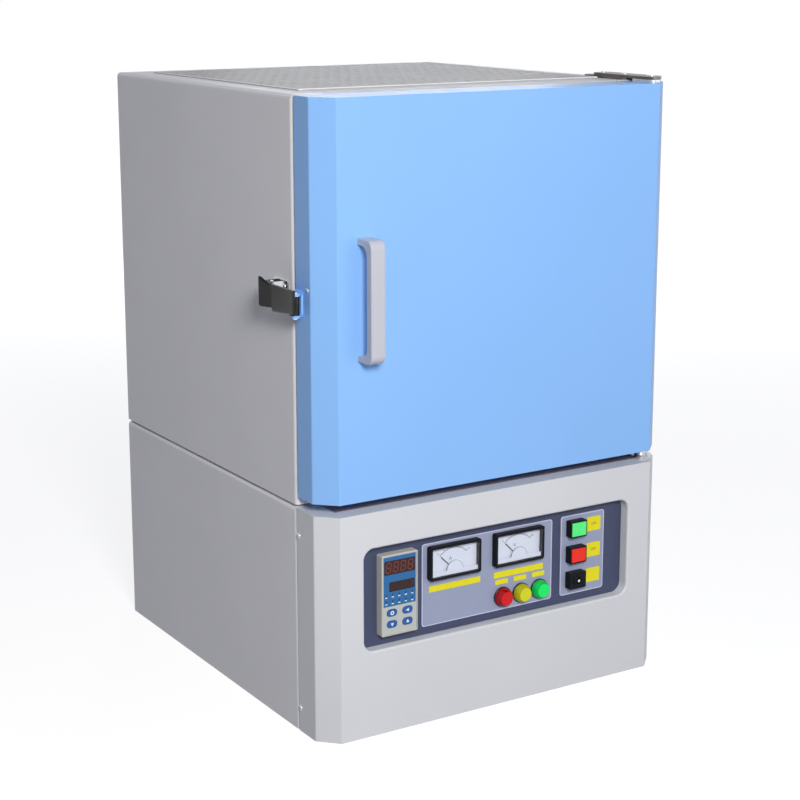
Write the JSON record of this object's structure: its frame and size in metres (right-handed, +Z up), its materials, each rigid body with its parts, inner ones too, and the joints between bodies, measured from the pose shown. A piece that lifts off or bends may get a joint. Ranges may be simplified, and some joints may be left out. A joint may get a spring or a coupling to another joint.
{
  "type": "muffle furnace",
  "caption": "Bench muffle furnace: insulated chamber with side-hinged front door over a control cabinet with controller, meters, lamps and switches",
  "frame": {"origin": "middle of the flat base on the surface it stands on", "axes": "+X to the right as seen from the front, +Y to the back, +Z up; the door faces -Y"},
  "size_m": [0.5099, 0.56, 0.7294],
  "materials": {
    "cabinet_grey": "light grey powder coat, fine satin texture",
    "top_cover_grey": "mid grey powder coat",
    "fascia_pale_grey": "pale grey powder coat, satin",
    "door_blue": "light blue powder coat, satin",
    "door_pan_grey": "heat resisting grey paint",
    "recess_slate": "dark slate powder coat",
    "plate_blue_grey": "screen printed satin anodised sheet",
    "legend_yellow": "yellow engraving laminate, bare",
    "controller_housing": "warm light grey moulded housing",
    "controller_blue": "printed polyester overlay",
    "controller_display": "smoked red display window",
    "key_blue": "moulded keys",
    "black_plastic": "black moulded phenolic, semi gloss",
    "dial_white": "matt white printed dial",
    "pointer_black": "black lacquered aluminium",
    "clear_pane": "clear acrylic pane",
    "lamp_bezel": "turned bezel, satin",
    "lens_red": "red moulded lens",
    "lens_yellow": "yellow moulded lens",
    "lens_green": "green moulded lens",
    "cap_green": "green button cap",
    "cap_red": "red button cap",
    "steel_bright": "zinc plated steel",
    "screw_zinc": "zinc plated screws",
    "hinge_grey": "dull zinc plated plate",
    "handle_silver": "satin aluminium casting",
    "gland_black": "black nylon",
    "fibre_board": "white ceramic fibre board",
    "seal_rope": "white ceramic fibre rope",
    "alumina": "fired alumina, matt",
    "element_alloy": "oxidised resistance alloy",
    "probe_sheath": "alumina sheath with cast head",
    "gear_zinc": "zinc plated sheet",
    "heatsink": "extruded aluminium"
  },
  "bodies": {
    "cabinet": {"lower_side_panels": "cabinet_grey", "upper_side_panels": "cabinet_grey", "front_frame": "cabinet_grey", "upper_rear_cover": "cabinet_grey", "lower_rear_cover": "cabinet_grey", "deck_plate": "cabinet_grey", "base_pan": "cabinet_grey", "top_vent_cover": "top_cover_grey", "control_fascia": "fascia_pale_grey", "instrument_backplate": "recess_slate", "instrument_plates": "plate_blue_grey", "legend_plates": "legend_yellow", "controller_case": "controller_housing", "controller_fascia": "controller_blue", "controller_window": "controller_display", "meter_housings": "black_plastic", "switch_bodies": "black_plastic", "switch_gear": "black_plastic", "meter_dials": "dial_white", "meter_windows": "clear_pane", "lamp_bodies": "lamp_bezel", "lamp_lens_red": "lens_red", "lamp_lens_yellow": "lens_yellow", "lamp_lens_green": "lens_green", "hinge_top_pin": "steel_bright", "latch_strike": "steel_bright", "casing_screws": "screw_zinc", "hinge_screws": "screw_zinc", "hinge_top_base": "hinge_grey", "hinge_top_arm": "hinge_grey", "hinge_bottom_bracket": "hinge_grey", "cable_gland": "gland_black", "insulation_boards": "fibre_board", "muffle_chamber": "alumina", "hearth_plate": "alumina", "element_terminals": "alumina", "heating_elements": "element_alloy", "thermocouple": "probe_sheath", "gear_plate": "gear_zinc", "power_regulator": "heatsink"},
    "latch": {"latch_lever": "black_plastic"},
    "start_button": {"start_button_cap": "cap_green"},
    "stop_button": {"stop_button_cap": "cap_red"},
    "key_switch": {"lock_barrel": "black_plastic"},
    "key_set": {"controller_key_set": "key_blue"},
    "key_shift": {"controller_key_shift": "key_blue"},
    "key_down": {"controller_key_down": "key_blue"},
    "key_up": {"controller_key_up": "key_blue"},
    "ammeter_pointer": {"ammeter_needle": "pointer_black"},
    "voltmeter_pointer": {"voltmeter_needle": "pointer_black"},
    "door": {"door_skin": "door_blue", "door_inner_pan": "door_pan_grey", "door_insulation": "fibre_board", "door_plug": "fibre_board", "door_seal": "seal_rope", "door_handle": "handle_silver", "hinge_bushes": "steel_bright", "latch_bracket": "door_blue", "latch_screws": "screw_zinc", "latch_pin": "steel_bright"}
  },
  "joints": [
    {"name": "door_hinge", "type": "hinge", "parent": "cabinet", "child": "door", "pos_m": [0.224, -0.234, 0.5], "axis": [0, 0, 1], "range_deg": [0, 115]},
    {"name": "latch_pivot", "type": "hinge", "parent": "door", "child": "latch", "pos_m": [-0.2525, -0.2269, 0.4995], "axis": [0, 0, 1], "range_deg": [0, 100]},
    {"name": "start_press", "type": "slide", "parent": "cabinet", "child": "start_button", "axis": [0, 1, 0], "range_m": [0, 0.0025], "stiffness_N_per_m": 400},
    {"name": "stop_press", "type": "slide", "parent": "cabinet", "child": "stop_button", "axis": [0, 1, 0], "range_m": [0, 0.0025], "stiffness_N_per_m": 400},
    {"name": "key_switch_turn", "type": "hinge", "parent": "cabinet", "child": "key_switch", "pos_m": [0.1132, -0.2482, 0.1312], "axis": [0, 1, 0], "range_deg": [0, 90]},
    {"name": "set_key_press", "type": "slide", "parent": "cabinet", "child": "key_set", "axis": [0, 1, 0], "range_m": [0, 0.0008], "stiffness_N_per_m": 600},
    {"name": "shift_key_press", "type": "slide", "parent": "cabinet", "child": "key_shift", "axis": [0, 1, 0], "range_m": [0, 0.0008], "stiffness_N_per_m": 600},
    {"name": "down_key_press", "type": "slide", "parent": "cabinet", "child": "key_down", "axis": [0, 1, 0], "range_m": [0, 0.0008], "stiffness_N_per_m": 600},
    {"name": "up_key_press", "type": "slide", "parent": "cabinet", "child": "key_up", "axis": [0, 1, 0], "range_m": [0, 0.0008], "stiffness_N_per_m": 600},
    {"name": "ammeter_pointer_swing", "type": "hinge", "parent": "cabinet", "child": "ammeter_pointer", "pos_m": [-0.0622, -0.2482, 0.17555], "axis": [0, 1, 0], "range_deg": [0, 90], "stiffness_Nm_per_rad": 0.00002},
    {"name": "voltmeter_pointer_swing", "type": "hinge", "parent": "cabinet", "child": "voltmeter_pointer", "pos_m": [0.0284, -0.2482, 0.17555], "axis": [0, 1, 0], "range_deg": [0, 90], "stiffness_Nm_per_rad": 0.00002}
  ]
}
